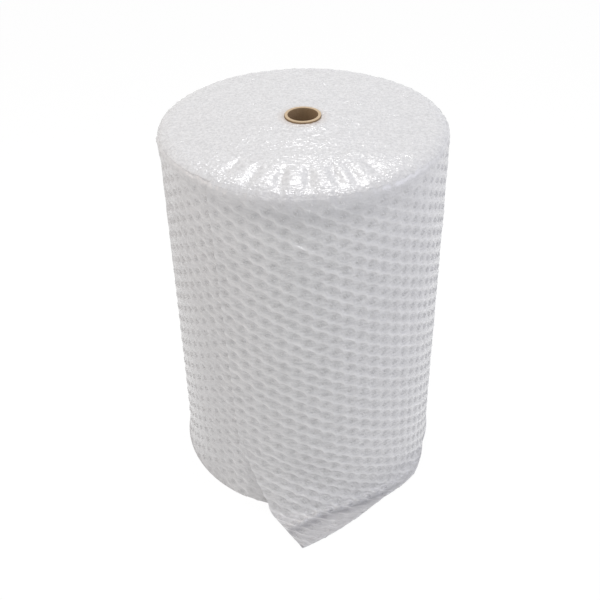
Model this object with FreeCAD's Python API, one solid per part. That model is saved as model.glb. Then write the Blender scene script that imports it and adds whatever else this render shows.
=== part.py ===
# A roll of large-bubble wrap standing on its end, with the corner of its last turn slipped down and
# splayed out on the floor.
# Two pieces: the cardboard core tube, and the web of bubble film that is wound on it.
# Millimetres, +Z up. The origin is on the axis of the core, at the floor. The front is towards -Y.
import FreeCAD, Part
import Mesh
import math
import os

# The core tube
core_bore = 76.0
core_wall = 7.0
core_length = 1020.0
winding_clearance = 0.3

# The wound web
web_width = 1000.0
roll_diameter = 728.0
turns = 39
rim_drop = 3.0
rim_reach = 20.0
dome_rise = 18.0
turn_groove = 3.5

# The slump of the outer turns' upper edges at the front, where the loose corner has dragged them down
slump_drop = 24.0
slump_reach = 130.0
slump_half_angle = 62.0
slump_fade = 5

# The bubbles, in columns up the roll, each column half a pitch out of step with the next. They lie
# on the inner face, and the outer face dips over each one, between the creases along the rows.
column_spacing = 33.5
bubble_pitch = 37.5
dish_depth = 3.6
top_margin = 4.0
foot_margin = 15.0

# The cut end of the last turn. Angles run from the front, positive towards +X.
cut_angle = -31.0
winding_skew = 3.0
leave_height = 221.0
foot_gap = 34.0
foot_gap_angle = 50.0
cut_lean = 14.5
cut_lean_angle = 85.0

# The bottom margin of the last turn, spread on the floor as a lip that is widest at its corner
corner_angle = -3.4
corner_reach = 108.0
corner_spread_angle = 37.4
skirt_reach = 28.0
skirt_end_angle = 70.0
skirt_fade_angle = 20.0
lip_bend = 12.0
lip_rows = 2

# How fast the loose corner curves off the roll and the lip narrows: 1 is even, more is later
lift_power = 1.5
spread_power = 1.2
reach_power = 1.6

# Sizes that follow
core_radius = core_bore / 2 + core_wall
roll_radius = roll_diameter / 2
columns = 2 * round(math.pi * roll_diameter / column_spacing / 2)
outer_sides = columns // 2
inner_sides = columns // 4
bore_radius = (core_radius + winding_clearance) / math.cos(math.pi / inner_sides)
turn_thickness = (roll_radius - bore_radius) / turns
step_angle = 360.0 / columns


def end_height(radius):
    """Height of the turns' upper edges: a low dome that falls away at the soft rim."""
    into_rim = max(0.0, (radius - (roll_radius - rim_reach)) / rim_reach)
    return web_width + dome_rise * (1 - radius / roll_radius) - rim_drop * into_rim**2


first_row = end_height(roll_radius) - top_margin
rows = int((first_row - foot_margin) / bubble_pitch - 0.5)
leave_row = round((first_row - leave_height) / bubble_pitch)
leave_top = first_row - leave_row * bubble_pitch
gap_columns = 2 * (rows - leave_row) + 1
lip_columns = round((skirt_end_angle - cut_angle) / step_angle)

corners = []
numbers = {}
facets = {}


def corner(radius, angle, height):
    """The number of the corner at this place, the same number for the same place."""
    turn = math.radians(angle)
    place = (radius * math.sin(turn), -radius * math.cos(turn), height)
    key = tuple(round(value, 3) for value in place)
    if key not in numbers:
        numbers[key] = len(corners)
        corners.append(place)
    return numbers[key]


def facet(a, b, c):
    """Adds a triangle. Where it meets its own double, the film touches itself there and both go."""
    if len({a, b, c}) < 3:
        return
    key = tuple(sorted((a, b, c)))
    if key in facets:
        del facets[key]
    else:
        facets[key] = (a, b, c)


def gap_between(a, b):
    return math.dist(corners[a], corners[b])


def zip_chains(left, right):
    """Fills the strip between two chains of corners, always across the shorter diagonal."""
    a = 0
    b = 0
    while a < len(left) - 1 or b < len(right) - 1:
        can_left = a < len(left) - 1
        can_right = b < len(right) - 1
        if can_left and can_right:
            can_left = gap_between(left[a + 1], right[b]) <= gap_between(left[a], right[b + 1])
        if can_left:
            facet(left[a], left[a + 1], right[b])
            a += 1
        else:
            facet(left[a], right[b + 1], right[b])
            b += 1


def skew_turn(height):
    """Degrees that the slanting web has turned at this height, because it was wound out of square."""
    drop = leave_top - height
    return math.degrees(math.tan(math.radians(winding_skew)) * drop / roll_radius)


def lean_turn(column, height):
    """Degrees that the loose corner is drawn to the right below where it leaves the roll."""
    fade = 1 - column * step_angle / cut_lean_angle
    fall = 1 - height / leave_top
    return cut_lean * max(0.0, fade) * max(0.0, fall)


def row_height(column, row):
    return first_row - (row + 0.5 * (column % 2)) * bubble_pitch


def turn_radius(column):
    """Outer radius of the spiral at a column counted from the cut end."""
    return roll_radius - turn_thickness * column / columns


def foot_lift(column, height):
    """How far the last turn stands off the one beneath it."""
    share = column * step_angle / foot_gap_angle
    top = row_height(column, leave_row + column // 2)
    if share >= 1 or height >= top:
        return 0.0
    return foot_gap * (1 - share**2) * (1 - height / top) ** lift_power


def slump(angle):
    """How far the outer turn has slid down at its top edge: most at the front."""
    from_front = abs((angle + 180) % 360 - 180)
    if from_front >= slump_half_angle:
        return 0.0
    return slump_drop * math.cos(math.radians(90 * from_front / slump_half_angle)) ** 2


def skin(column, height, inward=0.0):
    """A corner on the last turn, or so far inward from its face."""
    angle = cut_angle + column * step_angle + skew_turn(height) + lean_turn(column, height)
    slid = height - slump(angle) * (height / first_row) ** slump_fade
    return corner(turn_radius(column) + foot_lift(column, height) - inward, angle, slid)


def under_skin(column, height):
    """A corner on the turn beneath the last one, where the last one stands off it."""
    angle = cut_angle + column * step_angle + skew_turn(height)
    slid = height - slump(angle) * (height / first_row) ** slump_fade
    return corner(turn_radius(column) - turn_thickness, angle, slid)


def wall(column, row):
    if column == columns:
        return under_skin(0, row_height(0, row))
    return skin(column, row_height(column, row))


def bubble_cell(a, b, c, d):
    """Four facets down to the middle of one bubble's dish from the corners of its slanting cell."""
    x, y, z = (sum(corners[n][axis] for n in (a, b, c, d)) / 4 for axis in range(3))
    radius = math.hypot(x, y) - dish_depth
    middle = corner(radius, math.degrees(math.atan2(x, -y)), z)
    for start, end in ((a, b), (b, c), (c, d), (d, a)):
        facet(start, end, middle)


def lip_place(column, share):
    """Radius and angle on the lip: share 0 at the bend, 1 at the web's bottom edge."""
    along = column / lip_columns
    edge_angle = corner_angle + (skirt_end_angle - corner_angle) * along**spread_power
    to_end = min(1.0, (skirt_end_angle - edge_angle) / skirt_fade_angle)
    into_corner = max(0.0, 1 - (edge_angle - corner_angle) / corner_spread_angle)
    edge_radius = turn_radius(column) + skirt_reach * to_end + corner_reach * into_corner**reach_power
    foot_angle = floor_angle(column)
    foot_radius = turn_radius(column) + foot_lift(column, 0) + lip_bend * to_end
    radius = foot_radius + (edge_radius - foot_radius) * share
    angle = foot_angle + (edge_angle - foot_angle) * share
    return radius, angle


def floor_angle(column):
    """Angle at which the last turn meets the floor."""
    return cut_angle + column * step_angle + skew_turn(0) + lean_turn(column, 0)


def foot_chain(column):
    """Corners from the lowest row of bubbles down to the floor, over the lip where there is one."""
    chain = [wall(column, rows)]
    if column > lip_columns:
        return chain + [corner(turn_radius(column), floor_angle(column), 0)]
    if column == lip_columns:
        low = turn_radius(column)
        return chain + [corner(low, floor_angle(column), h) for h in (turn_thickness, 0)]
    for row in range(lip_rows + 1):
        radius, angle = lip_place(column, row / lip_rows)
        chain.append(corner(radius, angle, turn_thickness))
    return chain + [lip_edge(column)]


def lip_edge(column):
    """The lower corner of the web's bottom edge."""
    radius, angle = lip_place(column, 1)
    if column == lip_columns:
        radius, angle = turn_radius(column), floor_angle(column)
    return corner(radius, angle, 0)


def roll_foot(column):
    """A corner of the roll's flat foot, beneath the last turn where the lip runs over it."""
    if column > lip_columns:
        return corner(turn_radius(column), floor_angle(column), 0)
    if column < gap_columns:
        return under_skin(column, 0)
    return skin(column, 0, turn_thickness)


def wrap_wall():
    """The outer turn with its bubbles, and the lip at its foot."""
    for column in range(columns):
        beside = column + 1
        shift = column % 2
        for row in range(rows - shift):
            bubble_cell(
                wall(column, row),
                wall(column, row + 1),
                wall(beside, row + 1 + shift),
                wall(beside, row + shift),
            )
        top_left = [end_corner(0, column, columns), wall(column, 0)]
        top_right = [end_corner(0, beside, columns), wall(beside, 0)]
        low_left = foot_chain(column)
        low_right = foot_chain(beside) if beside < columns else [wall(columns, rows), roll_foot(0)]
        if shift:
            top_right.append(wall(beside, 1))
            low_left.insert(0, wall(column, rows - 1))
        zip_chains(top_left, top_right)
        zip_chains(low_left, low_right)


def wrap_gap():
    """The room between the loose corner and the turn beneath, with the film's inner face."""
    for column in range(gap_columns):
        beside = column + 1
        for face in (inner_chain, under_chain):
            zip_chains(face(column), face(beside))
    for column in range(lip_columns):
        beside = column + 1
        left = [lip_edge(column), lip_inside(column)]
        right = [lip_edge(beside), lip_inside(beside)]
        zip_chains(left, right)
    facet(lip_edge(lip_columns), roll_foot(lip_columns), roll_foot(lip_columns + 1))


def lip_inside(column):
    return skin(column, 0, turn_thickness)


def inner_chain(column):
    """Down the inner face of the last turn, from where it leaves the roll to the floor."""
    top = leave_row + column // 2
    chain = [skin(column, row_height(column, row), turn_thickness) for row in range(top, rows + 1)]
    return chain + [lip_inside(column)]


def under_chain(column):
    """Down the face of the turn beneath, from the same place to the floor."""
    top = leave_row + column // 2
    chain = [skin(column, row_height(column, top), turn_thickness)]
    chain += [under_skin(column, row_height(column, row)) for row in range(top + 1, rows + 1)]
    return chain + [roll_foot(column)]


def wrap_cut_edge():
    """The narrow face along the cut: on the roll, then free of it, then along the lip."""
    outer = [end_corner(0, 0, columns)] + [wall(0, row) for row in range(leave_row + 1)]
    inner = [end_corner(1, 0, outer_sides), end_corner(0, columns, columns)]
    inner += [wall(columns, row) for row in range(leave_row + 1)]
    zip_chains(outer, inner)
    outer = [wall(0, row) for row in range(leave_row, rows)] + foot_chain(0)
    zip_chains(outer, inner_chain(0) + [lip_edge(0)])


def end_corner(ring, side, sides):
    """A corner on the upper end: even rings are the turns' edges, odd ones the grooves between."""
    radius = roll_radius - turn_thickness * (ring / 2 + side / sides)
    angle = cut_angle + 360.0 * side / sides + skew_turn(end_height(roll_radius))
    into_slump = max(0.0, 1 - (roll_radius - radius) / slump_reach)
    height = end_height(radius) - turn_groove * (ring % 2) - slump(angle) * into_slump**2
    return corner(radius, angle, height)


def ring_sides(ring):
    """Fewer sides on the smaller turns."""
    if ring == 0:
        return columns
    return outer_sides if ring < turns else inner_sides


def bore_ring(height):
    start = cut_angle + skew_turn(end_height(roll_radius))
    return [corner(bore_radius, start + 360.0 * n / inner_sides, height) for n in range(inner_sides + 1)]


def wrap_ends():
    """The spiral of turns on top, the bore for the core, and the foot that its weight has pressed flat."""
    last = 2 * (turns - 1)
    rings = []
    for ring in range(last + 1):
        sides = ring_sides(ring)
        rings.append([end_corner(ring, side, sides) for side in range(sides + 1)])
    bore_top = bore_ring(end_height(bore_radius))
    bore_foot = bore_ring(0)
    for outer, inner in zip(rings, rings[1:]):
        zip_chains(outer, inner)
    zip_chains(rings[last], bore_top)
    facet(rings[last][0], end_corner(last + 1, 0, inner_sides), bore_top[0])
    zip_chains(bore_top, bore_foot)
    foot = [roll_foot(column) for column in range(columns)]
    zip_chains(foot + foot[:1], bore_foot)


def make_core_tube():
    tube = Part.makeCylinder(core_radius, core_length)
    return tube.cut(Part.makeCylinder(core_bore / 2, core_length))


def make_bubble_wrap():
    wrap_wall()
    wrap_gap()
    wrap_cut_edge()
    wrap_ends()
    skin_mesh = Mesh.Mesh([[corners[n] for n in three] for three in facets.values()])
    skin_mesh.harmonizeNormals()
    shell = Part.Shape()
    shell.makeShapeFromMesh(skin_mesh.Topology, 0.001, True)
    solid = Part.Solid(shell)
    if solid.Volume < 0:
        solid.reverse()
    return solid


os.makedirs("parts", exist_ok=True)
for name, shape in (("core_tube", make_core_tube()), ("bubble_wrap", make_bubble_wrap())):
    shape.exportStep("parts/" + name + ".step")
    litres = shape.Volume / 1e6
    print(name, "valid", shape.isValid(), "solids", len(shape.Solids), "litres", round(litres, 3))
print("facets", len(facets), "turn thickness", round(turn_thickness, 2))
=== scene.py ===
"""A roll of large-bubble wrap that stands on its end, with its last turn's corner slipped down.

The flat web is modelled first, one bubble at a time, and then wound on the roll by the same sizes
as the solids. Metres, +Z up, the front towards -Y.
"""

import bpy
import math
from mathutils import Matrix, Vector, noise


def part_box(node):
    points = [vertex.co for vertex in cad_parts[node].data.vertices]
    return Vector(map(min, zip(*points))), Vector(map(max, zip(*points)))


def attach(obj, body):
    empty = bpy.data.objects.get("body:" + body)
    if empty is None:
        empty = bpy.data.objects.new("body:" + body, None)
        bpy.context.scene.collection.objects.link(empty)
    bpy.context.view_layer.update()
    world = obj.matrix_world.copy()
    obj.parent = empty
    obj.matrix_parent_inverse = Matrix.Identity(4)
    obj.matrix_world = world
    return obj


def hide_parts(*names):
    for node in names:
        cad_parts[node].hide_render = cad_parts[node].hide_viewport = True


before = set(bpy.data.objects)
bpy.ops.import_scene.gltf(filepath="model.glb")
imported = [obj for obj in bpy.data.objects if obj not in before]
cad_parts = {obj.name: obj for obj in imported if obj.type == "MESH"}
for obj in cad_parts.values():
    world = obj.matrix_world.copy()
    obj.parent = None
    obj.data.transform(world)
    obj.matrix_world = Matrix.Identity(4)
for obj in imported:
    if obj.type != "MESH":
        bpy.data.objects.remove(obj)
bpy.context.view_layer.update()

# The wound web, as in the solids
roll_radius = 0.364
turns = 39
columns = 68
bubble_pitch = 0.0375
web_width = 1.0
rim_drop = 0.003
rim_reach = 0.020
dome_rise = 0.018
top_margin = 0.004
bore_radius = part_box("core_tube")[1].x + 0.0011
turn_thickness = (roll_radius - bore_radius) / turns
column_width = math.tau * roll_radius / columns
step_angle = math.tau / columns

# The slump of the outer turns' upper edges at the front
slump_drop = 0.024
slump_reach = 0.130
slump_half_angle = math.radians(62)
slump_fade = 5

# The cut end of the last turn and its loose corner
cut_angle = math.radians(-31)
winding_skew = math.radians(3)
leave_height = 0.221
foot_gap = 0.034
foot_gap_angle = math.radians(50)
lift_power = 1.5
cut_lean = math.radians(14.5)
cut_lean_angle = math.radians(85)

# The lip that the web's bottom margin makes on the floor
corner_angle = math.radians(-2.6)
corner_reach = 0.113
corner_spread_angle = math.radians(37.4)
skirt_reach = 0.028
skirt_end_angle = math.radians(70)
skirt_fade_angle = math.radians(20)
spread_power = 1.2
reach_power = 1.6
lip_columns = round((skirt_end_angle - cut_angle) / step_angle)
lip_end = lip_columns * column_width
bend_radius = 0.020
edge_thickness = 0.003
cut_tuck = 0.008
edge_droop = 0.0020
edge_droop_reach = 0.010

# The beaded crease at the bend, where the web buckles before it runs out on the floor
crease_height = 0.009
crease_fall = 0.050
crease_fall_columns = 3.5
crease_fall_start = 4.75
crease_fall_power = 1.2
crease_width = 0.0050
crease_rise = 0.0090
crease_start = 0.5
crease_end = 13.0
bead_middle = 0.6
bead_swing = 0.4

# The web past the crease, on the floor: where it starts, its crumples, and its grey band of painted
# shade
floor_start = 0.006
floor_fade = 0.012
floor_crumple = 0.0016
floor_crumple_size = 0.013
# One layer of film on the floor is a light grey; the band below the crease is painted shade
thin_base = 0.15
shade_band = 0.015
shade_band_width = 0.011
thin_end = 14.0
thin_fade = 5.0

# The round of the roll's upper rim, widest at the slumped front, its flare and its ragged edge
rim_round = 0.015
front_round = 0.027
rim_turn = math.radians(55)
rim_blend = 0.035
rim_flare = 0.006
rim_flare_height = 0.050
rim_flare_angle = math.radians(-100)
rim_rag = 0.0035
rim_rag_size = 0.017
rim_wobble = 0.0018
rim_wobble_size = 0.022

# The front rim is greyer, by painted shade, and has calmer bubbles: where this starts under the
# rim, where it is full, and how far the painted shade runs into the upper end
front_rim_shade = 0.42
rim_grey_start = 0.100
rim_grey_full = 0.045
end_grey_reach = 0.040
rim_calm = 0.3

# The bulge at the roll's foot, which starts past the lip's end
foot_bulge = 0.008
foot_bulge_height = 0.080
foot_bulge_columns = 4

# The strip of the turn beneath that shows under the loose corner
under_columns = 12
under_height = 0.30

# One bubble in its slanting cell: rings of the film's face, as radius and height
ring_sides = 12
cell_radius = 0.0195
seal_ring = (0.0125, 0.0009)
dish_ring = (0.0090, 0.0002)
floor_ring = (0.0045, 0.0)
floor_height = 0.0002
row_ridge = 0.0034
column_ridge = 0.0008
node_ridge = 0.0041
middle_height = 0.0010
web_sink = 0.0019
bubble_spread = 0.35
dome_depth = 0.0048
dome_rings = ((0.0150, 0.0), (0.0125, 0.7), (0.0070, 0.97))
top_fade = 0.026

# Long waves and slanting ripples of the web: rise, size along and across, and slant
wave_rise = 0.0010
wave_size = (0.11, 0.06)
ripple_rise = 0.0008
ripple_size = (0.060, 0.014)
ripple_slant = (0.87, 0.5)

# How near two places count as one, how near a point counts as on a line, and what is merged
same_place = 0.0001
on_line = 0.001
weld_web = 0.0002
weld_ends = 0.00005


def share(value):
    """A value held between 0 and 1."""
    return min(1.0, max(0.0, value))


def end_height(radius):
    """Height of the turns' upper edges: a low dome that falls away at the rim."""
    into_rim = max(0.0, (radius - (roll_radius - rim_reach)) / rim_reach)
    return web_width + dome_rise * (1 - radius / roll_radius) - rim_drop * into_rim**2


rim_height = end_height(roll_radius)


def slump(angle):
    """How far the outer turn has slid down at its top edge: most at the front."""
    from_front = abs((angle + math.pi) % math.tau - math.pi)
    if from_front >= slump_half_angle:
        return 0.0
    return slump_drop * math.cos(math.pi / 2 * from_front / slump_half_angle) ** 2


def rim_arc(angle):
    """Radius of the round between the outer turn's face and the upper end."""
    return rim_round + front_round * slump(angle) / slump_drop


def on_circle(radius, angle):
    return Vector((radius * math.sin(angle), -radius * math.cos(angle), 0))


def flare(angle):
    """How far the outer turn stands out at the rim: unevenly, and most on the left."""
    wobble = rim_wobble * noise.noise(on_circle(roll_radius / rim_wobble_size, angle))
    return rim_flare * max(0.0, math.cos(angle - rim_flare_angle)) ** 2 + wobble


def top_height(radius, angle):
    """The upper end with its slumped shoulder, which leans into the round of the rim."""
    edge = roll_radius - rim_arc(angle) * (1 - math.cos(rim_turn))
    slope = 2 * slump(angle) / slump_reach + 2 * rim_drop / rim_reach
    lean = max(0.0, 1 / math.tan(rim_turn) - slope)
    near_rim = max(0.0, 1 - (edge - radius) / rim_blend)
    into_slump = max(0.0, 1 - (roll_radius - radius) / slump_reach)
    rag = rim_rag * noise.noise(on_circle(roll_radius / rim_rag_size, angle)) * near_rim
    slumped = end_height(radius) - slump(angle) * into_slump**2
    return slumped - lean * rim_blend / 2 * near_rim**2 + rag


first_row = rim_height - top_margin
leave_row = round((first_row - leave_height) / bubble_pitch)
leave_top = first_row - leave_row * bubble_pitch


def deselect_all():
    bpy.ops.object.select_all(action="DESELECT")


def activate(obj):
    deselect_all()
    obj.select_set(True)
    bpy.context.view_layer.objects.active = obj


select_all = (bpy.ops.mesh.select_all, {"action": "SELECT"})


def in_edit_mode(obj, *steps):
    """Runs mesh operators on a piece, each with what is selected then."""
    activate(obj)
    bpy.ops.object.mode_set(mode="EDIT")
    for step, settings in steps:
        step(**settings)
    bpy.ops.object.mode_set(mode="OBJECT")


def select_faces(obj, wanted):
    """Selects the faces whose centre passes the test, and nothing else."""
    for part in (obj.data.vertices, obj.data.edges, obj.data.polygons):
        for item in part:
            item.select = False
    for face in obj.data.polygons:
        face.select = wanted(face.center)


def select_border(obj, wanted):
    """Selects the open edges whose two ends both pass the test, and nothing else."""
    uses = {}
    for face in obj.data.polygons:
        for key in face.edge_keys:
            uses[key] = uses.get(key, 0) + 1
    for part in (obj.data.vertices, obj.data.edges, obj.data.polygons):
        for item in part:
            item.select = False
    points = obj.data.vertices
    for edge in obj.data.edges:
        ends = [points[n].co for n in edge.vertices]
        if uses.get(edge.key) == 1 and all(wanted(co) for co in ends):
            edge.select = True
            for n in edge.vertices:
                points[n].select = True


def apply_modifier(obj, kind, **settings):
    activate(obj)
    modifier = obj.modifiers.new(kind.lower(), kind)
    for name, value in settings.items():
        setattr(modifier, name, value)
    bpy.ops.object.modifier_apply(modifier=modifier.name)


def cell_edge(angle):
    """The point of the slanting cell's outline that one of the tile's twelve sides starts from."""
    half = column_width / 2
    corners = (
        Vector((half, bubble_pitch / 4)),
        Vector((-half, bubble_pitch * 3 / 4)),
        Vector((-half, -bubble_pitch / 4)),
        Vector((half, -bubble_pitch * 3 / 4)),
    )
    thirds = round(math.degrees(angle) / 30 - 1) % ring_sides
    side, part = divmod(thirds, 3)
    return corners[side].lerp(corners[(side + 1) % 4], part / 3), side, part


def bubble_tile(name, rings, top, ridges):
    """One bubble: a twelve-sided face, inset ring by ring, poked, and stretched onto its cell."""
    deselect_all()
    bpy.ops.mesh.primitive_circle_add(vertices=ring_sides, radius=cell_radius, fill_type="NGON")
    tile = bpy.context.object
    tile.name = name
    flat = math.cos(math.pi / ring_sides)
    steps = [select_all]
    before = (cell_radius, 0.0)
    for ring in rings:
        inset = (before[0] - ring[0]) * flat
        steps.append((bpy.ops.mesh.inset, {"thickness": inset, "depth": ring[1] - before[1]}))
        before = ring
    steps.append((bpy.ops.mesh.poke, {"offset": top - before[1]}))
    in_edit_mode(tile, *steps)
    on_rim = (cell_radius + rings[0][0]) / 2
    for point in tile.data.vertices:
        if point.co.xy.length > on_rim:
            place, side, part = cell_edge(math.atan2(point.co.y, point.co.x))
            point.co = (place.x, place.y, ridges[2] if part == 0 else ridges[side % 2])
    return tile


def flat_web(name, tile, wide, low, high):
    """A flat sheet of bubbles, each column half a pitch below the one on its left."""
    count = 3 + math.ceil((high - low) / bubble_pitch)
    start_row = math.floor((first_row - high) / bubble_pitch) - 1
    start = (0.5 * column_width, first_row - (start_row + 0.75) * bubble_pitch, 0)
    tile.data.transform(Matrix.Translation(start))
    joining = {"use_relative_offset": False, "use_constant_offset": True,
               "use_merge_vertices": True, "merge_threshold": same_place}
    copies = ((count, (0, -bubble_pitch, 0)),
              (2, (column_width, -bubble_pitch / 2, 0)),
              (math.ceil(wide / 2), (2 * column_width, 0, 0)))
    for number, step in copies:
        apply_modifier(tile, "ARRAY", count=number, constant_offset_displace=step, **joining)
    tile.name = name
    tile.data.name = name
    return tile


def skew_turn(height):
    """Angle that the slanting web has turned at this height, because it was wound out of square."""
    return math.tan(winding_skew) * (leave_top - height) / roll_radius


def lean_turn(column, height):
    """Angle that the loose corner is drawn to the right below where it leaves the roll."""
    fade = 1 - column * step_angle / cut_lean_angle
    fall = 1 - max(0.0, height) / leave_top
    return cut_lean * max(0.0, fade) * max(0.0, fall)


def turn_angle(column, height):
    return cut_angle + column * step_angle + skew_turn(height) + lean_turn(column, height)


def turn_radius(column):
    return roll_radius - turn_thickness * column / columns


def foot_lift(column, height):
    """How far the last turn stands off the one beneath it."""
    around = column * step_angle / foot_gap_angle
    top = leave_top - column * bubble_pitch / 2
    if around >= 1 or height >= top:
        return 0.0
    return foot_gap * (1 - around**2) * (1 - max(0.0, height) / top) ** lift_power


def lip_run(column):
    """Foot and edge of the lip on the floor at a column, and how far from the lip's end it is."""
    start = turn_thickness + bend_radius
    along = share(column / lip_columns)
    end_angle = turn_angle(lip_columns, 0)
    edge_angle = corner_angle + (end_angle - corner_angle) * along**spread_power
    to_end = share((end_angle - edge_angle) / skirt_fade_angle)
    into_corner = max(0.0, 1 - (edge_angle - corner_angle) / corner_spread_angle)
    edge_radius = turn_radius(column) + skirt_reach * to_end
    edge_radius += corner_reach * into_corner**reach_power
    foot = on_circle(turn_radius(column) + foot_lift(column, start), turn_angle(column, start))
    return foot, on_circle(edge_radius, edge_angle), to_end


def lip_shape(column):
    """Bend radius of the lip's crease, its height over the floor and its length past the bend."""
    foot, edge, to_end = lip_run(column)
    reach = (edge - foot).length
    bend = min(bend_radius, reach)
    level = turn_thickness * min(1.0, 2 * to_end)
    return bend, level, reach - bend


def lip_bottom(column):
    """The web's lowest height in the flat at a column: its bottom edge."""
    if column > lip_columns - on_line:
        return 0.0
    bend, level, flat = lip_shape(column)
    return level + bend - bend * math.pi / 2 - flat


def wound(along, height, out):
    """Where a point of the flat web comes to lie: on the roll, round the bend, or on the floor."""
    column = along / column_width
    bend, level, flat = lip_shape(column) if column < lip_columns else (0.0, 0.0, 0.0)
    start = level + bend
    wall_height = max(height, start)
    angle = turn_angle(column, wall_height)
    arc = rim_arc(angle)
    over = max(0.0, wall_height - (rim_height - arc * rim_turn)) / arc
    edge = top_height(roll_radius - arc * (1 - math.cos(rim_turn)), angle)
    slide = rim_height - edge - arc * (rim_turn - math.sin(rim_turn))
    straight = wall_height - over * arc + arc * math.sin(over)
    slid = straight - slide * min(1.0, wall_height / (rim_height - arc * rim_turn)) ** slump_fade
    low = max(0.0, 1 - max(0.0, wall_height) / foot_bulge_height)
    bulge = foot_bulge * low**2 * share((column - lip_columns) / foot_bulge_columns)
    bulge += flare(angle) * math.exp(-(((rim_height - wall_height) / rim_flare_height) ** 2))
    radius = turn_radius(column) + foot_lift(column, wall_height) + bulge
    face = on_circle(1, angle)
    place = face * (radius - arc * (1 - math.cos(over)))
    place.z = slid
    if height >= start:
        return place + (face * math.cos(over) + Vector((0, 0, 1)) * math.sin(over)) * out
    foot, edge, to_end = lip_run(column)
    down = start - height
    ahead = (edge - foot).normalized()
    turned = min(down / bend, math.pi / 2) if bend > 0 else math.pi / 2
    straight = max(0.0, down - bend * math.pi / 2)
    place = foot + ahead * (bend * (1 - math.cos(turned)) + straight)
    place.z = start - bend * math.sin(turned)
    normal = face * math.cos(turned) + Vector((0, 0, 1)) * math.sin(turned)
    return place + normal * out


def in_loose_corner(co):
    """Whether a point of the flat web belongs to the part that stands off the roll."""
    column = co.x / column_width
    if column > lip_columns:
        return False
    return co.y < max(leave_top - column * bubble_pitch / 2, turn_thickness)


def trim_web(sheet):
    """Cuts the sheet to the web's top edge, its foot and its curved bottom edge."""
    select_faces(sheet, lambda co: True)
    above = {"plane_co": (0, rim_height, 0), "plane_no": (0, 1, 0), "clear_outer": True}
    in_edit_mode(sheet, (bpy.ops.mesh.bisect, above))
    for point in sheet.data.vertices:
        if abs(point.co.x - lip_end) < on_line:
            point.co.y = max(point.co.y, 0.0)
    select_faces(sheet, lambda co: co.x > lip_end)
    below = {"plane_co": (0, 0, 0), "plane_no": (0, -1, 0), "clear_outer": True}
    in_edit_mode(sheet, (bpy.ops.mesh.bisect, below))

    def past_the_edge(co):
        return co.x < lip_end + on_line and co.y <= lip_bottom(min(co.x, lip_end) / column_width)

    select_faces(sheet, lambda co: False)
    points = sheet.data.vertices
    for face in sheet.data.polygons:
        face.select = all(past_the_edge(points[n].co) for n in face.vertices)
    in_edit_mode(sheet, (bpy.ops.mesh.delete, {"type": "FACE"}))
    for point in sheet.data.vertices:
        lowest = lip_bottom(min(point.co.x, lip_end) / column_width)
        if point.co.x < lip_end + on_line and point.co.y < lowest:
            point.co.y = lowest
            point.co.z = 0.0


# Where the web is taut and its bubbles hardly stand out: low on the left, by degrees
taut_angle = -92
taut_half_angle = 40
taut_fade_angle = 20
taut_top = 0.75
taut_fade = 0.35
taut_loss = 0.3
taut_loss_low = 0.5
floor_loss = 0.35
beneath_slack = 0.45
noise_spread = (7.31, 3.17)


def crease_line(column):
    """Height in the flat web of the beaded crease, which runs down to the cut edge on the left."""
    before = max(0.0, crease_fall_start - column) / crease_fall_columns
    return crease_height - crease_fall * before**crease_fall_power


def on_floor(column, height):
    """Share of the way that the web has gone from the bend to the floor."""
    return share((crease_line(column) - height + floor_start) / floor_fade)


def under_rim(height):
    """Share of the way up to the upper rim, over its last part."""
    return share((height - rim_height + rim_grey_start) / (rim_grey_start - rim_grey_full))


def slack(column, height):
    """How strongly the bubbles and creases stand out: less where taut, on the floor or beneath."""
    angle = math.degrees(turn_angle(column, height))
    angle = (angle + 180) % 360 - 180
    beside = share((abs(angle - taut_angle) - taut_half_angle) / taut_fade_angle)
    low = share((taut_top - height) / taut_fade)
    flat = on_floor(column, height) if column < lip_columns else 0.0
    loose = (1 - (taut_loss + taut_loss_low * low) * (1 - beside)) * (1 - floor_loss * flat)
    return min(loose, beneath_slack) if column > columns else loose


def bubble_noise(co):
    """A number of its own for each bubble, about -1 to 1."""
    column = math.floor(co.x / column_width)
    row = math.floor((co.y + (co.x / column_width) * bubble_pitch / 2) / bubble_pitch)
    return noise.noise(Vector((column * noise_spread[0], row * noise_spread[1], 0.5)))


def buckle(column, height):
    """How far the web stands out in the beaded crease, as a share."""
    if not crease_start < column < crease_end:
        return 0.0
    ends = math.sin(math.pi * (column - crease_start) / (crease_end - crease_start)) ** 0.5
    bead = bead_middle + bead_swing * math.cos(math.tau * (column - height / bubble_pitch))
    return ends * bead * math.exp(-(((height - crease_line(column)) / crease_width) ** 2))


def thinness_and_shade(column, height):
    """Film's grey: one layer on the floor, and painted shade below the crease and at the front rim.
    """
    angle = turn_angle(column, height)
    # Painted shade at the slumped front rim
    rim_painted_shade = front_rim_shade * under_rim(height) * slump(angle) / slump_drop
    if column > lip_columns:
        return rim_painted_shade
    below = crease_line(column) - height
    # Painted shade in a band below the crease
    band = math.exp(-(((below - shade_band) / shade_band_width) ** 2))
    before_end = share((thin_end - column) / thin_fade)
    lying = on_floor(column, height) * (thin_base + (1 - thin_base) * band) * before_end
    return max(lying, rim_painted_shade)


def unevenness(x, y):
    """Height of the web's long waves and ripples, and of its crumples on the floor."""
    column = x / column_width
    wave = noise.noise(Vector((x / wave_size[0], y / wave_size[1], 2.0))) * wave_rise
    along = x * ripple_slant[0] - y * ripple_slant[1]
    across = x * ripple_slant[1] + y * ripple_slant[0]
    ripple = noise.noise(Vector((along / ripple_size[0], across / ripple_size[1], 9.0)))
    wave += ripple * ripple_rise
    if x < lip_end and y < crease_line(column):
        crumple = noise.noise(Vector((x / floor_crumple_size, y / floor_crumple_size, 4.0)))
        wave += floor_crumple * min(1.0, (crease_line(column) - y) / floor_fade) * crumple
    return wave


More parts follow.
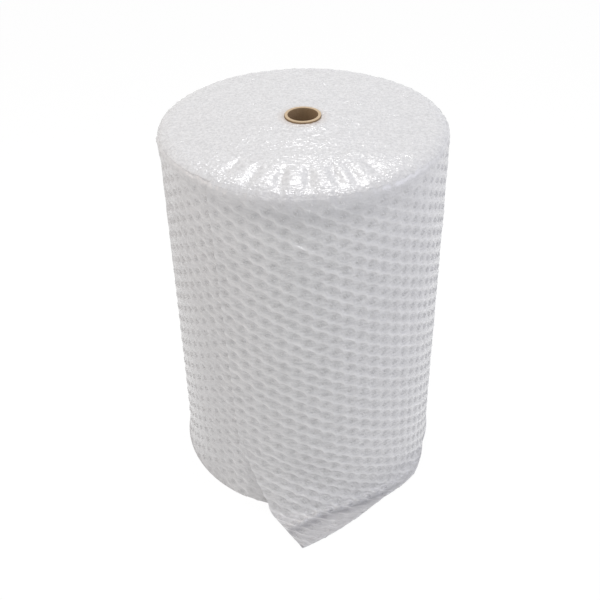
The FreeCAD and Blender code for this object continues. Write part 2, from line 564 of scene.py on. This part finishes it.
def wind_web(sheet):
    """Stores each point's flat place as UVs and its looks as attributes, and winds the sheet."""
    layer = sheet.data.uv_layers.new(name="web")
    # Three attributes: the painted highlight on ridges and beads, the grey of one layer with
    # painted shade, and the slack
    crease, thin_film_and_shade, loose = (sheet.data.attributes.new(name, "FLOAT", "POINT")
                           for name in ("crease", "thin_film_and_shade", "loose"))
    points = sheet.data.vertices
    for loop in sheet.data.loops:
        co = points[loop.vertex_index].co
        layer.data[loop.index].uv = (co.x, co.y)
    for point in points:
        x, y, out = point.co
        column = x / column_width
        fade = share((rim_height - y) / top_fade)
        fade *= fade * (3 - 2 * fade)
        painted_highlight = 0.0
        if out >= 0:
            relief = slack(column, y) * (1 + bubble_spread * bubble_noise(point.co))
            relief *= 1 - rim_calm * under_rim(y)
            # Painted highlight: the ridges are marked to be mixed towards white
            painted_highlight = min(1.0, out / node_ridge) * relief * fade
            out = ((out - middle_height) * relief - web_sink) * fade
        fold = buckle(column, y)
        out += crease_rise * fold
        # The crease's beads get the painted highlight too
        if out > 0:
            painted_highlight = max(painted_highlight, fold)
        crease.data[point.index].value = painted_highlight
        thin_film_and_shade.data[point.index].value = thinness_and_shade(column, y)
        loose.data[point.index].value = slack(column, y)
        point.co = wound(x, y, out + unevenness(x, y) * fade)
        point.co.z = max(point.co.z, 0.0)


def droop_edge(sheet):
    """Presses the web flat towards its free edges."""
    for point in sheet.data.vertices:
        if point.co.x > lip_end or not in_loose_corner(point.co):
            continue
        from_edge = point.co.y - lip_bottom(point.co.x / column_width)
        if from_edge < edge_droop_reach:
            point.co.z -= edge_droop * (1 - from_edge / edge_droop_reach) ** 2


def inner_face(lowest):
    """The film's inner face in the loose corner, with its bubbles' domes, turned inwards."""
    domes = tuple((radius, -edge_thickness - depth * dome_depth) for radius, depth in dome_rings)
    tile = bubble_tile("inner_face", domes, -edge_thickness - dome_depth, (-edge_thickness,) * 3)
    for point in tile.data.vertices:
        point.co.z = min(point.co.z, -edge_thickness)
    inner = flat_web("inner_face", tile, lip_columns + 1, lowest, under_height)
    select_faces(inner, lambda co: not in_loose_corner(co))
    in_edit_mode(inner, (bpy.ops.mesh.delete, {"type": "FACE"}))
    trim_web(inner)
    for point in inner.data.vertices:
        point.co.z = min(point.co.z, -edge_thickness)
    in_edit_mode(inner, select_all, (bpy.ops.mesh.flip_normals, {}))
    return inner


def extrude_border(sheet, wanted, depth):
    """Extrudes the chosen open edges inwards, towards the roll."""
    select_border(sheet, wanted)
    move = {"TRANSFORM_OT_translate": {"value": (0, 0, -depth)}}
    in_edit_mode(sheet, (bpy.ops.mesh.extrude_region_move, move))


def outer_turn():
    """The last turn of the web, with its loose corner, and the strip of the turn beneath."""
    rings = (seal_ring, dish_ring, floor_ring)
    tile = bubble_tile("outer_turn", rings, floor_height, (row_ridge, column_ridge, node_ridge))
    lowest = min(lip_bottom(n / 4) for n in range(4 * lip_columns))
    sheet = flat_web("outer_turn", tile, columns + under_columns, lowest, rim_height)
    end = columns * column_width
    select_faces(sheet, lambda co: co.x > end and co.y > under_height)
    in_edit_mode(sheet, (bpy.ops.mesh.delete, {"type": "FACE"}))
    trim_web(sheet)

    def near_crease(co):
        column = co.x / column_width
        inside = crease_start + 0.5 < column < crease_end
        return inside and abs(co.y - crease_line(column)) < 2.5 * crease_width

    select_faces(sheet, near_crease)
    in_edit_mode(sheet, (bpy.ops.mesh.subdivide, {"number_cuts": 2}))
    inner = inner_face(lowest)

    def on_free_edge(co):
        on_cut = abs(co.x) < same_place
        on_lip = co.x < lip_end and abs(co.y - lip_bottom(co.x / column_width)) < same_place
        return (on_cut or on_lip) and in_loose_corner(co)

    def on_wound_cut(co):
        return abs(co.x) < same_place and not in_loose_corner(co) and co.z > -on_line

    extrude_border(sheet, on_free_edge, edge_thickness)
    for point in sheet.data.vertices:
        if point.select:
            point.co.z = -edge_thickness
    extrude_border(sheet, on_wound_cut, turn_thickness + cut_tuck)
    activate(sheet)
    inner.select_set(True)
    bpy.ops.object.join()
    weld = (bpy.ops.mesh.remove_doubles, {"threshold": weld_web})
    in_edit_mode(sheet, select_all, weld)
    droop_edge(sheet)
    wind_web(sheet)
    in_edit_mode(sheet, select_all, weld)
    activate(sheet)
    bpy.ops.object.shade_smooth_by_angle(angle=math.radians(50))
    return sheet


# The upper end
end_steps = 420
samples_a_turn = 4
groove_depth = 0.0005
groove_share = 0.65
groove_swing = 0.5
groove_size = 0.03
crumple_rise = 0.0009
crumple_size = 0.010
dent_rise = 0.0012
dent_size = 0.045
wander = 0.0012
wander_size = 0.02
calm_rim = 0.025
seam_fade = 0.1
pleat_angles = tuple(math.radians(angle) for angle in (-36, -24, -11, 2, 14, 22, 33))
pleat_half_width = math.radians(2.6)
pleat_depth = 0.006
gather_peak = 1.25
tuck_depth = 0.014
tuck_in = 0.0008


def pleats(angle):
    """Depth, 0 to 1, of the gathers that run out over the slumped shoulder."""
    return sum(math.exp(-(((angle - middle) / pleat_half_width) ** 2)) for middle in pleat_angles)


def upper_edge(radius, angle, turn, groove, inside):
    """Height of the wound edges at one place, with their crinkles."""
    into_slump = max(0.0, 1 - (roll_radius - radius) / slump_reach)
    wrapped = (angle + math.pi) % math.tau - math.pi
    height = top_height(radius, angle)
    gather = math.sin(math.pi * min(1.0, gather_peak * into_slump)) if into_slump > 0 else 0.0
    height -= inside * pleat_depth * gather * pleats(wrapped) * (slump(angle) / slump_drop)
    crumple = noise.noise(on_circle(radius, angle) / crumple_size)
    dent = noise.noise(on_circle(radius, angle) / dent_size)
    height += inside * (crumple_rise * crumple + dent_rise * dent)
    uneven = noise.noise(Vector((angle * radius / groove_size, turn * 2.3, 5.0)))
    depth = inside * groove_depth * (groove_share + groove_swing * uneven)
    return height - groove * depth


def turn_ends():
    """The spiral of film edges on the upper end, rolled up from a flat grid."""
    rows = samples_a_turn * (turns - 1) + 3
    end_rim_shades = {}
    deselect_all()
    bpy.ops.mesh.primitive_grid_add(x_subdivisions=end_steps, y_subdivisions=rows, size=1)
    ends = bpy.context.object
    ends.name = "turn_ends"
    for point in ends.data.vertices:
        around = point.co.x + 0.5
        row = round((0.5 - point.co.y) * rows)
        angle = cut_angle + math.tau * around + skew_turn(rim_height)
        sample = min(max(row - 1, 0), samples_a_turn * (turns - 1))
        turn = sample / samples_a_turn + around
        radius = roll_radius - turn_thickness * turn
        phase = sample % samples_a_turn / samples_a_turn
        if row > samples_a_turn * (turns - 1) + 1:
            radius, phase = bore_radius, 0.5
        inside = share(sample / samples_a_turn * turn_thickness / calm_rim)
        aside = noise.noise(Vector((angle * radius / wander_size, turn * 1.3, 7.0)))
        radius += inside * wander * aside
        late = turn_thickness * around * min(1.0, (1 - around) / seam_fade)
        near_rim = max(0.0, 1 - (roll_radius - late - radius) / (2 * rim_blend))
        radius -= rim_arc(angle) * (1 - math.cos(rim_turn)) * near_rim
        groove = math.sin(math.pi * phase)
        height = upper_edge(radius + late * near_rim, angle, turn, groove, inside)
        # Painted shade on the upper end towards the slumped front rim
        at_edge = share(1 - (roll_radius - radius - rim_round) / end_grey_reach)
        end_rim_shades[point.index] = front_rim_shade * at_edge * slump(angle) / slump_drop
        radius += flare(angle) * near_rim
        if row == 0:
            radius -= tuck_in
            height -= tuck_depth
        if row == rows:
            height -= tuck_depth
        place = on_circle(radius, angle)
        point.co = (place.x, place.y, height)
    thin_film_and_shade = ends.data.attributes.new("thin_film_and_shade", "FLOAT", "POINT")
    for index, grey in end_rim_shades.items():
        thin_film_and_shade.data[index].value = grey
    in_edit_mode(ends, select_all, (bpy.ops.mesh.remove_doubles, {"threshold": weld_ends}))
    activate(ends)
    bpy.ops.object.shade_smooth_by_angle(angle=math.radians(80))
    return ends


# The lower end
foot_steps = 96
foot_groove = 0.0015


def foot_turns():
    """The lower end of the turns, pressed flat by the roll's weight."""
    rows = 2 * (turns - 1) + 1
    deselect_all()
    bpy.ops.mesh.primitive_grid_add(x_subdivisions=foot_steps, y_subdivisions=rows, size=1)
    foot = bpy.context.object
    foot.name = "foot_turns"
    for point in foot.data.vertices:
        around = point.co.x + 0.5
        row = round((point.co.y + 0.5) * rows)
        angle = cut_angle + math.tau * around + skew_turn(0)
        under = turn_thickness if around * columns < lip_columns else 0.0
        radius = turn_radius(around * columns) - under
        radius += foot_bulge * share((around * columns - lip_columns) / foot_bulge_columns)
        if row > 0:
            radius = roll_radius - turn_thickness * (1 + around + (row - 1) / 2)
        radius = max(radius, bore_radius)
        place = on_circle(radius, angle)
        point.co = (place.x, place.y, foot_groove * (row % 2))
    in_edit_mode(foot, select_all, (bpy.ops.mesh.remove_doubles, {"threshold": weld_ends}))
    return foot


def linear(hex_colour):
    """An sRGB hex colour as the linear values that Blender works in."""
    values = [int(hex_colour[n:n + 2], 16) / 255 for n in (1, 3, 5)]
    curve = [v / 12.92 if v <= 0.04045 else ((v + 0.055) / 1.055) ** 2.4 for v in values]
    return (*curve, 1.0)


def new_material(name):
    material = bpy.data.materials.new(name)
    material.use_nodes = True
    material.node_tree.nodes.clear()
    return material, material.node_tree


def add_node(tree, kind, inputs=(), **settings):
    """Adds one node, sets it up, and gives its sockets their values or links."""
    made = tree.nodes.new(kind)
    for name, value in settings.items():
        setattr(made, name, value)
    for socket, value in dict(inputs).items():
        if isinstance(value, bpy.types.NodeSocket):
            tree.links.new(value, made.inputs[socket])
        else:
            made.inputs[socket].default_value = value
    return made


# In a Mix node for colours, inputs 6 and 7 are its two colours, and output 2 is their mix

# The film's patterns, by real sizes
cloud_size = 0.060
grain_size = 0.0045
crinkle_size = 0.010
speck_size = 0.008
kink_size = 0.007

# The wall's fine streaks lie along the rows, longer than they are wide
row_slant = math.atan2(bubble_pitch / 2, column_width)
streak_scale = (0.3, 1.0, 1.0)


def film_material(name, crinkle, gloss_roughness, gloss, pattern):
    """Polyethylene film, blown and cast: clear, but milky white in many layers, with a soft gloss.
    Ridges and beads get a painted highlight, and fine crinkles break up the gloss."""
    material, tree = new_material(name)
    place = add_node(tree, "ShaderNodeTexCoord").outputs["Object"]
    cloud = add_node(tree, "ShaderNodeTexNoise", {"Vector": place, "Scale": 1 / cloud_size,
                                                  "Detail": 3.0})
    grain = add_node(tree, "ShaderNodeTexNoise", {"Vector": place, "Scale": 1 / grain_size,
                                                  "Detail": 2.0})
    coarse = add_node(tree, "ShaderNodeTexNoise", {"Vector": place, "Scale": 1 / crinkle_size,
                                                   "Detail": 1.0, "Distortion": 1.0})
    tones = {"Factor": cloud.outputs["Fac"], 6: linear("#cdcdce"), 7: linear("#dedee0")}
    tone = add_node(tree, "ShaderNodeMix", tones, data_type="RGBA")
    fine = place
    if pattern:
        web = add_node(tree, "ShaderNodeUVMap", uv_map="web")
        fine = add_node(tree, "ShaderNodeMapping", {"Vector": web.outputs["UV"],
                                                    "Rotation": (0, 0, row_slant),
                                                    "Scale": streak_scale}).outputs["Vector"]
    speck = add_node(tree, "ShaderNodeTexNoise", {"Vector": fine, "Scale": 1 / speck_size,
                                                  "Detail": 5.0, "Roughness": 0.75})
    spots = add_node(tree, "ShaderNodeMapRange", {"Value": speck.outputs["Fac"], "From Min": 0.38,
                                                  "From Max": 0.64, "To Max": 0.9})
    mottling = spots.outputs["Result"]
    if pattern:
        loose = add_node(tree, "ShaderNodeAttribute", attribute_name="loose")
        calm = add_node(tree, "ShaderNodeMapRange", {"Value": loose.outputs["Fac"], "From Min": 0.2,
                                                     "To Min": 0.55, "To Max": 1.0})
        mottling = add_node(tree, "ShaderNodeMath", {0: mottling, 1: calm.outputs["Result"]},
                            operation="MULTIPLY").outputs["Value"]
    milky = {"Factor": mottling, 6: tone.outputs[2], 7: linear("#f4f4f5")}
    colour = add_node(tree, "ShaderNodeMix", milky, data_type="RGBA").outputs[2]
    if pattern:
        # Painted light: the wall is painted lighter towards its top, to meet the brighter-lit upper
        # end
        parts = add_node(tree, "ShaderNodeSeparateXYZ", {"Vector": place})
        high = add_node(tree, "ShaderNodeMapRange", {"Value": parts.outputs["Z"], "From Min": 0.80,
                                                     "From Max": 1.0, "To Max": 0.45})
        painted_top_light = {"Factor": high.outputs["Result"], 6: colour, 7: linear("#f4f4f5")}
        colour = add_node(tree, "ShaderNodeMix", painted_top_light, data_type="RGBA").outputs[2]
    else:
        # The core shows through the film's innermost edges
        level = add_node(tree, "ShaderNodeVectorMath", {0: place, 1: (1, 1, 0)},
                         operation="MULTIPLY")
        radius = add_node(tree, "ShaderNodeVectorMath", {0: level.outputs["Vector"]},
                          operation="LENGTH")
        near = add_node(tree, "ShaderNodeMapRange", {"Value": radius.outputs["Value"],
                                                     "From Min": 0.044, "From Max": 0.068,
                                                     "To Min": 0.35, "To Max": 0.0})
        browner = {"Factor": near.outputs["Result"], 6: colour, 7: linear("#c4ab94")}
        colour = add_node(tree, "ShaderNodeMix", browner, data_type="RGBA").outputs[2]
    # Greyer for one layer of film on the floor, and painted shade below the crease and at the front
    # rim
    thin_film_and_shade = add_node(tree, "ShaderNodeAttribute", attribute_name="thin_film_and_shade")
    thin_film_and_shade_mix = {"Factor": thin_film_and_shade.outputs["Fac"], 6: colour, 7: linear("#b4b4b8")}
    colour = add_node(tree, "ShaderNodeMix", thin_film_and_shade_mix, data_type="RGBA").outputs[2]
    bumps = add_node(tree, "ShaderNodeMath", {0: grain.outputs["Fac"], 1: coarse.outputs["Fac"]},
                     operation="ADD")
    if pattern:
        # Painted highlight: the ridges and the crease's beads are mixed towards white
        crease = add_node(tree, "ShaderNodeAttribute", attribute_name="crease")
        ridge = add_node(tree, "ShaderNodeMapRange", {"Value": crease.outputs["Fac"],
                                                      "From Min": 0.35, "From Max": 0.95})
        ridge_highlight = {"Factor": ridge.outputs["Result"], 6: colour, 7: linear("#fafafb")}
        colour = add_node(tree, "ShaderNodeMix", ridge_highlight, data_type="RGBA").outputs[2]
    else:
        kinks = add_node(tree, "ShaderNodeTexVoronoi", {"Vector": place, "Scale": 1 / kink_size})
        where = add_node(tree, "ShaderNodeMapRange", {"Value": cloud.outputs["Fac"],
                                                      "From Min": 0.40, "From Max": 0.70,
                                                      "To Max": 4.0})
        bumps = add_node(tree, "ShaderNodeMath", {0: kinks.outputs["Distance"],
                                                  1: where.outputs["Result"],
                                                  2: bumps.outputs["Value"]},
                         operation="MULTIPLY_ADD")
    bump = add_node(tree, "ShaderNodeBump", {"Height": bumps.outputs["Value"], "Strength": 1.0,
                                             "Distance": crinkle})
    shader = add_node(tree, "ShaderNodeBsdfPrincipled", {
        "Base Color": colour, "Roughness": 0.38, "IOR": 1.5, "Coat Weight": gloss,
        "Coat Roughness": gloss_roughness, "Coat IOR": 1.5,
        "Normal": bump.outputs["Normal"], "Coat Normal": bump.outputs["Normal"]})
    add_node(tree, "ShaderNodeOutputMaterial", {"Surface": shader.outputs["BSDF"]})
    return material


# The core's board: the width of its spiral plies, the seam's share of it, its fibres and cut face
ply_width = 0.110
seam_share = 0.02
fibre_size = 0.0025
cut_face_depth = 0.001


def cardboard_material():
    """Spiral-wound grey-brown paperboard: matt, with the seams of its plies, short fibres and a
    paler cut face."""
    material, tree = new_material("core_cardboard")
    place = add_node(tree, "ShaderNodeTexCoord").outputs["Object"]
    parts = add_node(tree, "ShaderNodeSeparateXYZ", {"Vector": place})
    around = add_node(tree, "ShaderNodeMath", {0: parts.outputs["Y"], 1: parts.outputs["X"]},
                      operation="ARCTAN2")
    turned = add_node(tree, "ShaderNodeMath", {0: around.outputs["Value"], 1: 1 / math.tau},
                      operation="MULTIPLY")
    climbed = add_node(tree, "ShaderNodeMath", {0: parts.outputs["Z"], 1: 1 / ply_width,
                                                2: turned.outputs["Value"]},
                       operation="MULTIPLY_ADD")
    phase = add_node(tree, "ShaderNodeMath", {0: climbed.outputs["Value"]}, operation="FRACT")
    seam = add_node(tree, "ShaderNodeMath", {0: phase.outputs["Value"], 1: seam_share},
                    operation="LESS_THAN")
    fibre = add_node(tree, "ShaderNodeTexNoise", {"Vector": place, "Scale": 1 / fibre_size,
                                                  "Detail": 3.0})
    boards = {"Factor": fibre.outputs["Fac"], 6: linear("#8c7052"), 7: linear("#b59c7c")}
    board = add_node(tree, "ShaderNodeMix", boards, data_type="RGBA")
    seams = {"Factor": seam.outputs["Value"], 6: board.outputs[2], 7: linear("#8a6f52")}
    seamed = add_node(tree, "ShaderNodeMix", seams, data_type="RGBA")
    core_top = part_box("core_tube")[1].z
    top = add_node(tree, "ShaderNodeMath", {0: parts.outputs["Z"], 1: core_top - cut_face_depth},
                   operation="GREATER_THAN")
    faces = {"Factor": top.outputs["Value"], 6: seamed.outputs[2], 7: linear("#d6bf9f")}
    faced = add_node(tree, "ShaderNodeMix", faces, data_type="RGBA")
    bump = add_node(tree, "ShaderNodeBump", {"Height": fibre.outputs["Fac"], "Strength": 0.4,
                                             "Distance": 0.0005})
    shader = add_node(tree, "ShaderNodeBsdfPrincipled", {
        "Base Color": faced.outputs[2], "Roughness": 0.85, "Normal": bump.outputs["Normal"]})
    add_node(tree, "ShaderNodeOutputMaterial", {"Surface": shader.outputs["BSDF"]})
    return material


# The studio
floor_size = 30.0
floor_shadow = 0.12
floor_white = 1.065
sky_level = 0.42
key_size = (0.85, 0.5)
key_watts = 17.0
key_place = (0.12, 1.40, 3.25)
over_size = (1.5, 1.0)
over_watts = 12.5
over_place = (-0.3, -1.0, 3.3)
front_size = (0.28, 0.28)
front_watts = 8.0
front_place = (0.9, -3.6, 1.3)
side_size = (1.6, 1.6)
side_watts = 18.5
side_place = (2.9, -0.8, 2.4)
left_watts = 16.0
left_place = (-2.9, -0.5, 2.6)
camera_place = (-0.0161, -2.1029, 2.0026)
camera_tilt = math.radians(53.633)
camera_roll = math.radians(-1.137)
camera_lens = 55.64


def shown_rays(tree):
    """1 for rays that the camera sees itself, straight, mirrored or through glass."""
    path = add_node(tree, "ShaderNodeLightPath")
    seen = path.outputs["Is Camera Ray"]
    for ray in ("Is Glossy Ray", "Is Transmission Ray"):
        both = add_node(tree, "ShaderNodeMath", {0: seen, 1: path.outputs[ray]},
                        operation="MAXIMUM")
        seen = both.outputs["Value"]
    return seen


def make_world():
    world = bpy.data.worlds.new("white_studio")
    bpy.context.scene.world = world
    world.use_nodes = True
    tree = world.node_tree
    tree.nodes.clear()
    level = add_node(tree, "ShaderNodeMapRange", {"Value": shown_rays(tree), "To Min": sky_level,
                                                  "To Max": 1.0})
    back = add_node(tree, "ShaderNodeBackground", {"Color": linear("#ffffff"),
                                                   "Strength": level.outputs["Result"]})
    add_node(tree, "ShaderNodeOutputWorld", {"Surface": back.outputs["Background"]})


def make_floor():
    """Plain white floor: white to the camera, with the roll's soft shadow kept in part."""
    deselect_all()
    bpy.ops.mesh.primitive_plane_add(size=floor_size)
    floor = bpy.context.object
    floor.name = "floor"
    material, tree = new_material("white_floor")
    lit = add_node(tree, "ShaderNodeBsdfDiffuse", {"Color": linear("#f0f0f0")})
    white = add_node(tree, "ShaderNodeEmission", {"Color": linear("#ffffff"),
                                                  "Strength": floor_white})
    plain = add_node(tree, "ShaderNodeMath", {0: shown_rays(tree), 1: 1 - floor_shadow},
                     operation="MULTIPLY")
    both = add_node(tree, "ShaderNodeMixShader", {0: plain.outputs["Value"], 1: lit.outputs["BSDF"],
                                                  2: white.outputs["Emission"]})
    add_node(tree, "ShaderNodeOutputMaterial", {"Surface": both.outputs["Shader"]})
    floor.data.materials.append(material)


def make_lamp(name, place, target, size, watts, colour):
    deselect_all()
    bpy.ops.object.light_add(type="AREA", location=place)
    lamp = bpy.context.object
    lamp.name = name
    lamp.data.shape = "RECTANGLE"
    lamp.data.size, lamp.data.size_y = size
    lamp.data.energy = watts
    lamp.data.color = linear(colour)[:3]
    towards = Vector(target) - Vector(place)
    lamp.rotation_euler = towards.to_track_quat("-Z", "Y").to_euler()


def make_camera():
    deselect_all()
    bpy.ops.object.camera_add(location=camera_place)
    camera = bpy.context.object
    camera.rotation_euler = (Matrix.Rotation(camera_tilt, 3, "X")
                             @ Matrix.Rotation(camera_roll, 3, "Z")).to_euler()
    camera.data.sensor_width = 36
    camera.data.lens = camera_lens
    bpy.context.scene.camera = camera


def finish_piece(piece, material):
    piece.data.materials.clear()
    piece.data.materials.append(material)
    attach(piece, "root")
    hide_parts("bubble_wrap")


make_camera()
make_world()
make_floor()
make_lamp("key", key_place, (0, 0, 1), key_size, key_watts, "#ffffff")
make_lamp("overhead", over_place, (0, -0.2, 0.6), over_size, over_watts, "#ffffff")
make_lamp("front", front_place, (0, 0, 0.5), front_size, front_watts, "#ffffff")
make_lamp("side", side_place, (0, 0, 0.5), side_size, side_watts, "#ecebff")
make_lamp("left", left_place, (0, 0, 0.6), side_size, left_watts, "#ffebdf")

wall_film = film_material("wall_film", 0.0007, 0.11, 0.8, True)
end_film = film_material("end_film", 0.0004, 0.10, 0.7, False)
finish_piece(outer_turn(), wall_film)
finish_piece(turn_ends(), end_film)
finish_piece(foot_turns(), end_film)

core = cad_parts["core_tube"]
core.data.materials.clear()
core.data.materials.append(cardboard_material())

bpy.context.scene.view_settings.view_transform = "Standard"
